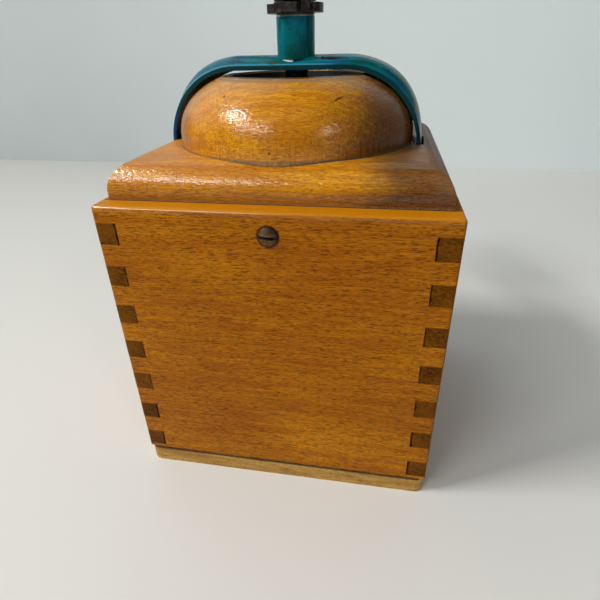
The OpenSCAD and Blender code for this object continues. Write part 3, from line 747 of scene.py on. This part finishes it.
lid = {"round": 9.5 * mm, "mouth": 22 * mm, "seat": 45.7 * mm, "seatDeep": 1.5 * mm,
       "slotX": (47.8 * mm, 50.5 * mm), "slotY": 9.2 * mm, "slotDeep": 3.1 * mm, "slotShift": 1.2 * mm}
top = block(lidLow, lidHigh)
easeEdges(top, lid["round"], lambda e: all(abs(v.co.z - lidHigh.z) < near for v in e.verts), 14)
seat = rod(lid["seat"], lidHigh.z - lid["seatDeep"], lidHigh.z + 2.5 * mm, 128)
mouth = rod(lid["mouth"], lidLow.z - 5 * mm, lidHigh.z + 12 * mm, 96)
slots = []
slotLow = lidHigh.z - lid["slotDeep"]
for left, right in ((-lid["slotX"][1], -lid["slotX"][0]), lid["slotX"]):
    slot = block((left, -lid["slotY"], slotLow), (right, lid["slotY"], lidHigh.z + 2 * mm))
    slot.rotation_euler = (0, 0, yokeTurn)
    slot.location.x = lid["slotShift"]
    settle(slot)
    slots.append(slot)
cut(top, seat, mouth, *slots)
finished(top, "lid", "case", wood["lid"], ("lid",), 32)
print("lid made")

full = 2 / ring["power"]  # the oval's power, and how far round it the mouth is
mouthTurn = acos(((ring["mouth"] + 0.9 * mm) / ring["widest"]) ** (1 / full))
rimRise = (ring["rim"] - 0.3 * mm - ring["swellZ"]) / sin(mouthTurn) ** full
ringLow = lidHigh.z - lid["seatDeep"]
profile = [(lid["mouth"], ringLow), (ring["widest"] - 0.3 * mm, ringLow),
           (ring["widest"] - 0.1 * mm, lidHigh.z + 0.2 * mm)]
for i in range(ring["steps"] + 1):
    a = mouthTurn * i / ring["steps"]
    profile.append((ring["widest"] * cos(a) ** full, ring["swellZ"] + rimRise * sin(a) ** full))
for out, down in ((0.5, 0.16), (0.15, 0.25), (0, 0.6)):  # the rounded lip
    profile.append((ring["mouth"] + out * mm, ring["rim"] - down * mm))
dome = turned(profile, (ring["shift"], 0, 0), steps=160)
finished(dome, "hopperRing", "case", wood["dome"], ("hopper_ring",), 40, False)

funnel = {"throat": 20 * mm, "mouth": 25.6 * mm, "sheet": 0.8 * mm}
funnelTop = ring["rim"] - 0.7 * mm
cone = turned([
    (funnel["throat"] - funnel["sheet"], caseTop), (funnel["throat"], caseTop),
    (funnel["throat"] + 0.4 * mm, caseTop + 0.1 * mm), (funnel["mouth"], funnelTop - 0.5 * mm),
    (funnel["mouth"] - 0.1 * mm, funnelTop - 0.1 * mm), (funnel["mouth"] - 0.4 * mm, funnelTop),
    (funnel["mouth"] - funnel["sheet"], funnelTop - 0.2 * mm),
    (funnel["throat"] - 0.4 * mm, caseTop + 1.2 * mm)])
finished(cone, "hopperFunnel", "case", metal["sheet"], ("hopper_liner",), 40, False)
print("hopper made")

yoke = {"width": 17.8 * mm, "thick": 1.4 * mm, "crown": 3.4 * mm, "flatFoot": 0.05, "edge": 0.42 * mm,
        "legX": 48.1 * mm, "shoulder": 27.4 * mm, "inTop": ring["rim"] + 1.2 * mm, "foot": lidHigh.z - 3 * mm,
        "shift": 1.2 * mm, "across": 12, "legSteps": 5, "arcSteps": 20, "topSteps": 6}
stud = {"x": 47 * mm, "radius": 2.5 * mm, "low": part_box("yoke")[0].z, "chamfer": 0.3 * mm}
shoulderX, shoulderZ = yoke["legX"] - yoke["shoulder"], yoke["inTop"] - yoke["shoulder"]
crownR = ((yoke["width"] / 2) ** 2 + yoke["crown"] ** 2) / (2 * yoke["crown"])


def bulge(y):  # the full crown's height across the strap
    return sqrt(crownR ** 2 - y * y) - (crownR - yoke["crown"])


def crownShare(angle):  # how much of the crown is left, by the angle up from the foot
    t = min(1, angle / radians(62))
    return yoke["flatFoot"] + (1 - yoke["flatFoot"]) * t * t * (3 - 2 * t)


def pushOut(steps, way):  # the picked section, carried on in equal steps
    for i in range(steps):
        bpy.ops.mesh.extrude_region_move(TRANSFORM_OT_translate={"value": Vector(way) / steps})


def pickSide(share, outside):  # of the picked section, its outer or its inner line
    shape = bmesh.from_edit_mesh(strap.data)
    for vert in shape.verts:
        depth = vert.co.x - yoke["legX"] - share * bulge(vert.co.y)
        if vert.select and (depth > yoke["thick"] / 2) != outside:
            vert.select_set(False)
    shape.select_flush(False)
    bmesh.update_edit_mesh(strap.data)


def pickAgain(section):  # the whole section, by its verts' numbers
    shape = bmesh.from_edit_mesh(strap.data)
    shape.verts.ensure_lookup_table()
    for number in section:
        shape.verts[number].select_set(True)
    shape.select_flush(True)
    bmesh.update_edit_mesh(strap.data)


def swing(angle):  # round the shoulder, up from the foot
    bpy.ops.transform.rotate(value=angle, orient_axis="Y", center_override=(shoulderX, 0, shoulderZ))


# a closed, nearly flat section at the +X foot, drawn up the leg, round the shoulder and along to the middle
ys = [-yoke["width"] / 2 + yoke["width"] * i / yoke["across"] for i in range(yoke["across"] + 1)]
section = [(yoke["thick"] + bulge(y) * yoke["flatFoot"], y) for y in ys]
section += [(bulge(y) * yoke["flatFoot"], y) for y in reversed(ys)]
strap = drawn([(yoke["legX"] + x, y, yoke["foot"]) for x, y in section + section[:1]])
bpy.ops.mesh.remove_doubles(threshold=weld)
pushOut(yoke["legSteps"], (0, 0, shoulderZ - yoke["foot"]))
for i in range(1, yoke["arcSteps"] + 1):
    before, now = pi / 2 * (i - 1) / yoke["arcSteps"], pi / 2 * i / yoke["arcSteps"]
    was, share = crownShare(before), crownShare(now)
    bpy.ops.mesh.extrude_region_move()
    swing(-before)
    picked = [v.index for v in bmesh.from_edit_mesh(strap.data).verts if v.select]
    for outside in (True, False):
        pickSide(was, outside)
        edgeX = yoke["legX"] + (yoke["thick"] if outside else 0)
        bpy.ops.transform.resize(value=(share / was, 1, 1), center_override=(edgeX, 0, 0))
        pickAgain(picked)
    swing(now)
pushOut(yoke["topSteps"], (-shoulderX, 0, 0))
letGo()

# the other half is a copy turned round
select(strap)
bpy.ops.object.duplicate()
half = bpy.context.object
half.rotation_euler = (0, 0, pi)
settle(half)
select(strap, half)
bpy.ops.object.join()
grip(strap, "verts")
bpy.ops.mesh.remove_doubles(threshold=0.01 * mm)
bpy.ops.mesh.select_all(action="SELECT")
bpy.ops.mesh.fill_holes(sides=0)
bpy.ops.mesh.select_all(action="SELECT")
bpy.ops.mesh.normals_make_consistent(inside=False)
letGo()
easeEdges(strap, yoke["edge"], lambda e: sharp(e, 48), 3)
strap.rotation_euler = (0, 0, yokeTurn)
strap.location.x = yoke["shift"]
settle(strap)

studs = []
for x in (-stud["x"], stud["x"]):
    foot = rod(stud["radius"], stud["low"], yoke["foot"] + 1 * mm, 32, x * cos(yokeTurn), x * sin(yokeTurn))
    easeEdges(foot, stud["chamfer"], lambda e: sharp(e, 60))
    studs.append(foot)
select(strap, *studs)
bpy.ops.object.join()
cut(strap, rod(tubeHigh.x + 0.05 * mm, tubeLow.z - 10 * mm, tubeLow.z + 10 * mm, 64))
finished(strap, "yoke", "case", metal["enamel"], ("yoke",), 40)


def innerFace(face):  # turned towards the hopper
    c, n = face.center, face.normal
    if abs(c.x) < shoulderX:
        return n.z < -0.5
    side = 1 if c.x > 0 else -1
    out = Vector((c.x - side * shoulderX, 0, max(0, c.z - shoulderZ))).normalized()
    return n.dot(out) < -0.5 and c.z > lidHigh.z


# the faces turned towards the hopper get near-black steel: painted shade under the yoke, and bare steel
paintFaces(strap, metal["underside"], innerFace)

tubeR, tubeBore = tubeHigh.x, 5.52 * mm
tube = turned([(tubeBore, tubeLow.z), (tubeR, tubeLow.z), (tubeR, tubeHigh.z - 0.5 * mm),
               (tubeR - 0.12 * mm, tubeHigh.z - 0.2 * mm), (tubeR - 0.4 * mm, tubeHigh.z),
               (tubeBore + 0.18 * mm, tubeHigh.z), (tubeBore, tubeHigh.z - 0.2 * mm)], steps=64)
finished(tube, "bearingTube", "case", metal["enamel"], ("bearing_tube",), 40)
print("yoke made")

for node, name, body, slotName, material, width in (
        ("thrust_washer", "thrustWasher", "thrust_washer", "dark_steel", metal["dark"], 0.1),
        ("star_nut", "starNut", "star_nut", "dark_steel", metal["dark"], 0.35),
        ("latch_spring", "latchSpring", "crank", "dark_steel", metal["dark"], 0.1),
        ("crank_hub", "crankHub", "crank", "dark_steel", metal["dark"], 0.3),
        ("crank_arm", "crankArm", "crank", "dark_steel", metal["dark"], 0.5),
        ("cap_nut", "capNut", "crank", "dark_steel", metal["dark"], 0.25),
        ("knob_pin", "knobPin", "crank", "spindle_steel", metal["spindle"], 0.2),
        ("knob_washer", "knobWasher", "crank", "dark_steel", metal["dark"], 0.15),
        ("spindle", "spindle", "crank", "spindle_steel", metal["dark"], 0.2),
        ("cone_burr", "coneBurr", "crank", "burr_steel", metal["burr"], 0.2),
        ("ring_burr", "ringBurr", "case", "burr_steel", metal["burr"], 0.2)):
    part = recast(node)
    easeEdges(part, width * mm, lambda e: sharp(e, 40), 2)
    finished(part, name, body, material, (node,))

pear = {"bore": 3.06 * mm, "foot": 6.4 * mm, "belly": 13.2 * mm, "crown": 4.9 * mm, "bellyAt": 0.64,
        "below": 20, "above": 16}  # steps below and above the belly
knobLow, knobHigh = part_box("crank_knob")
knobPlace = ((knobLow.x + knobHigh.x) / 2, (knobLow.y + knobHigh.y) / 2, 0)
knobTall = knobHigh.z - knobLow.z
knobProfile = [(pear["bore"], knobLow.z), (pear["foot"] - 0.5 * mm, knobLow.z)]
for i in range(1, pear["below"] + 1):
    t = i / pear["below"]
    swell = (1 - cos(pi * t)) / 2
    knobProfile.append((pear["foot"] + (pear["belly"] - pear["foot"]) * swell,
                        knobLow.z + knobTall * pear["bellyAt"] * t))
for i in range(1, pear["above"] + 1):
    a = pi / 2 * i / pear["above"]
    knobProfile.append((pear["crown"] + (pear["belly"] - pear["crown"]) * cos(a),
                        knobLow.z + knobTall * (pear["bellyAt"] + (1 - pear["bellyAt"]) * sin(a))))
knobProfile.append((pear["bore"], knobHigh.z))
knob = turned(knobProfile, knobPlace, steps=72)
finished(knob, "crankKnob", "knob", wood["crankKnob"], ("crank_knob",), 50, False)
print("crank made")

for node, name, slotName, material, width in (
        ("drawer_front", "drawerFront", "varnished_beech", wood["drawer"], 0.8),
        ("drawer_left", "drawerLeft", "raw_beech", wood["rawY"], 0.4),
        ("drawer_right", "drawerRight", "raw_beech", wood["rawY"], 0.4),
        ("drawer_back", "drawerBack", "raw_beech", wood["rawX"], 0.4),
        ("drawer_bottom", "drawerBottom", "raw_beech", wood["rawX"], 0.2)):
    part = recast(node)
    easeEdges(part, width * mm, lambda e: sharp(e, 60), 3)
    finished(part, name, "drawer", material, (node,))

pull = {"foot": 6.3 * mm, "neck": 4.2 * mm, "head": 9 * mm, "headTall": 6.2 * mm, "headAt": 10 * mm,
        "steps": 20}
pullLow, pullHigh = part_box("drawer_knob")
pullProfile = [(0, 0), (pull["foot"], 0), (pull["foot"] - 0.1 * mm, 0.6 * mm),
               (pull["neck"] + 1.0 * mm, 1.4 * mm), (pull["neck"] + 0.2 * mm, 2.8 * mm),
               (pull["neck"], 4.2 * mm), (pull["neck"] + 0.6 * mm, 5.2 * mm)]
for i in range(pull["steps"] + 1):
    a = radians(-50 + 140 * i / pull["steps"])
    pullProfile.append((pull["head"] * cos(a), pull["headAt"] + pull["headTall"] * sin(a)))
pullKnob = turned(pullProfile, (0, pullHigh.y, (pullLow.z + pullHigh.z) / 2), "-Y", 64)
finished(pullKnob, "drawerKnob", "drawer", wood["drawerKnob"], ("drawer_knob",), 50, False)
print("drawer made")

# what keeps its shape from the frame
kept = {
    "chute_board": wood["rawX"], "drawer_runners": wood["rawY"], "lid_cleats": wood["rawX"],
    "hopper_screws": metal["screw"], "burr_housing": metal["iron"], "housing_screws": metal["screw"],
    "bearing_bridge": metal["iron"], "bridge_screws": metal["screw"], "tube_bush": metal["brass"],
    "yoke_washers": metal["dark"], "yoke_nuts": metal["dark"], "cone_pin": metal["burr"],
    "drawer_knob_screw": metal["screw"],
}
for node, material in kept.items():
    nodes[node].data.materials.clear()
    nodes[node].data.materials.append(material)


def studio(name, colour, roughness, low, high):
    # one colour, painted darker on the window side (+X) and lighter towards the other: painted shade and
    # light that even out the lamps
    f = Finish(name)
    own = f.place()
    body = f.mix(shade(colour, low), shade(colour, high), f.rise(f.apart(own)[0], 0.5, -0.3))
    return f.wear(f.mix(body, shade(colour, 0.9), f.noise(own, 8, 3) * 0.2), roughness)


room = {"wall": -0.51, "wide": 4, "left": 0.62, "right": -0.5, "top": 0.635}
select()
bpy.ops.mesh.primitive_plane_add(size=room["wide"], location=(0, room["wall"] + room["wide"] / 2, 0))
floor = bpy.context.object
floor.name = "floor"
floor.data.materials.append(studio("floorPale", srgb(228, 228, 224), 0.8, 0.83, 1.17))
select()
wallMiddle = ((room["left"] + room["right"]) / 2, room["wall"], room["top"] / 2)
bpy.ops.mesh.primitive_plane_add(size=1, location=wallMiddle, rotation=(pi / 2, 0, 0))
wall = bpy.context.object
wall.name = "wall"
wall.scale = (room["left"] - room["right"], room["top"], 1)
settle(wall)
wall.data.materials.append(studio("wallPale", srgb(244, 254, 255), 0.9, 0.6, 1))

lights = {
    # name: azimuth from +X, elevation, distance, width, height, power, colour
    "window": (22, 45, 1.1, 0.31, 0.15, 7.0, (1.0, 0.98, 0.95)),
    "windowLow": (57, 34, 1.1, 0.5, 0.17, 3.0, (1.0, 0.98, 0.95)),
    "side": (-25, 38, 1.4, 1.9, 1.5, 6.5, (1.0, 0.96, 0.88)),
    "second": (131, 26, 1.0, 0.13, 0.1, 0.7, (1.0, 0.97, 0.92)),
    "fill": (70, 64, 1.6, 1.2, 1.2, 1.2, (0.94, 0.97, 1.0)),
}
lit = Vector((0, 0, 0.14))  # the point that every lamp faces
for name, (azimuth, height, far, wide, tall, power, colour) in lights.items():
    flat = cos(radians(height))
    direction = Vector((cos(radians(azimuth)) * flat, sin(radians(azimuth)) * flat, sin(radians(height))))
    bpy.ops.object.light_add(type="AREA", location=direction * far + lit)
    lamp = bpy.context.object
    lamp.name = name
    lamp.rotation_euler = direction.to_track_quat("Z", "Y").to_euler()
    lamp.data.shape = "RECTANGLE"
    lamp.data.size, lamp.data.size_y = wide, tall
    lamp.data.energy = power
    lamp.data.color = colour
sky = {"Color": (0.80, 0.88, 0.95, 1), "Strength": 0.13}
world = bpy.data.worlds.new("room")
bpy.context.scene.world = world
world.use_nodes = True
for key, value in sky.items():
    world.node_tree.nodes["Background"].inputs[key].default_value = value
print("stage made")
